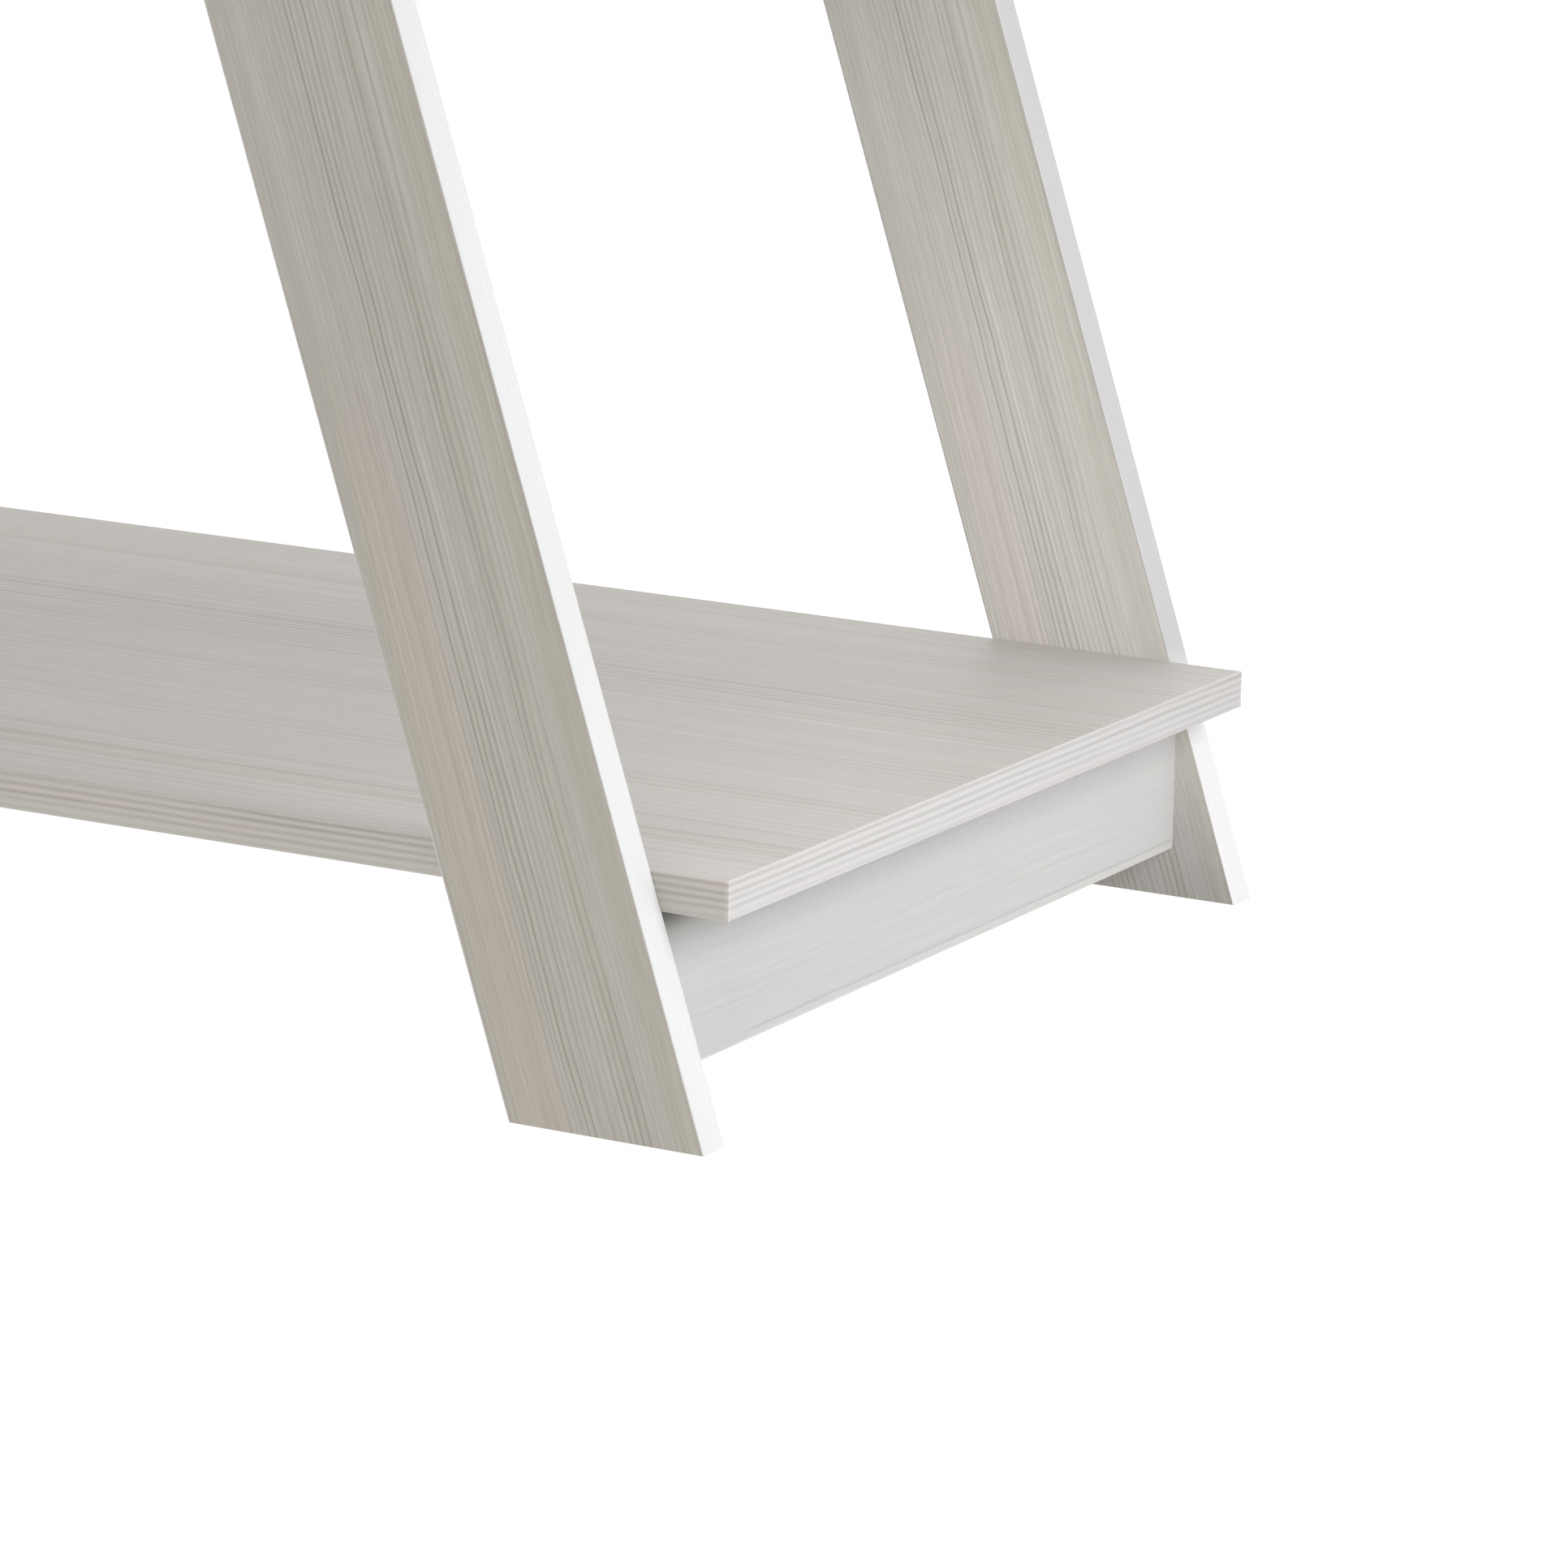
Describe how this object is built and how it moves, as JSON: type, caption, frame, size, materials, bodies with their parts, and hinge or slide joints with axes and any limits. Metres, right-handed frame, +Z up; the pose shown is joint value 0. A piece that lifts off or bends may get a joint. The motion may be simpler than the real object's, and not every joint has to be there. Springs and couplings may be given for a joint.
{
  "type": "ladder shelf",
  "caption": "Free-standing A-shaped open shelving unit: leaning board legs at front and rear, cross rails like ladder rungs, and shelves that get shorter towards the top.",
  "frame": {"origin": "middle of the footprint, on the floor", "axes": "+X along the shelves to the right seen from the front, +Y from the front legs to the rear legs, +Z up"},
  "size_m": [1.312, 0.536, 1.498],
  "materials": {
    "board": "whitewashed pine melamine, matt with a fine pressed grain",
    "edging": "whitewashed wood-pattern plastic edging, matt",
    "cam_lock": "die-cast zinc, dull",
    "cam_bolt": "zinc-plated steel",
    "dowel": "raw beech, fluted"
  },
  "bodies": {
    "root": {"front_left_leg": "board", "front_right_leg": "board", "rear_left_leg": "board", "rear_right_leg": "board", "front_left_leg_edging": "edging", "front_right_leg_edging": "edging", "rear_left_leg_edging": "edging", "rear_right_leg_edging": "edging", "bottom_shelf": "board", "lower_shelf": "board", "upper_shelf": "board", "top_shelf": "board", "bottom_shelf_edging": "edging", "lower_shelf_edging": "edging", "upper_shelf_edging": "edging", "top_shelf_edging": "edging", "bottom_left_rail": "board", "bottom_right_rail": "board", "lower_left_rail": "board", "lower_right_rail": "board", "upper_left_rail": "board", "upper_right_rail": "board", "top_left_rail": "board", "top_right_rail": "board", "bottom_rail_edging": "edging", "lower_rail_edging": "edging", "upper_rail_edging": "edging", "top_rail_edging": "edging", "bottom_cam_locks": "cam_lock", "lower_cam_locks": "cam_lock", "upper_cam_locks": "cam_lock", "top_cam_locks": "cam_lock", "bottom_cam_bolts": "cam_bolt", "lower_cam_bolts": "cam_bolt", "upper_cam_bolts": "cam_bolt", "top_cam_bolts": "cam_bolt", "bottom_leg_dowels": "dowel", "lower_leg_dowels": "dowel", "upper_leg_dowels": "dowel", "top_leg_dowels": "dowel", "bottom_shelf_dowels": "dowel", "lower_shelf_dowels": "dowel", "upper_shelf_dowels": "dowel", "top_shelf_dowels": "dowel"}
  },
  "joints": []
}
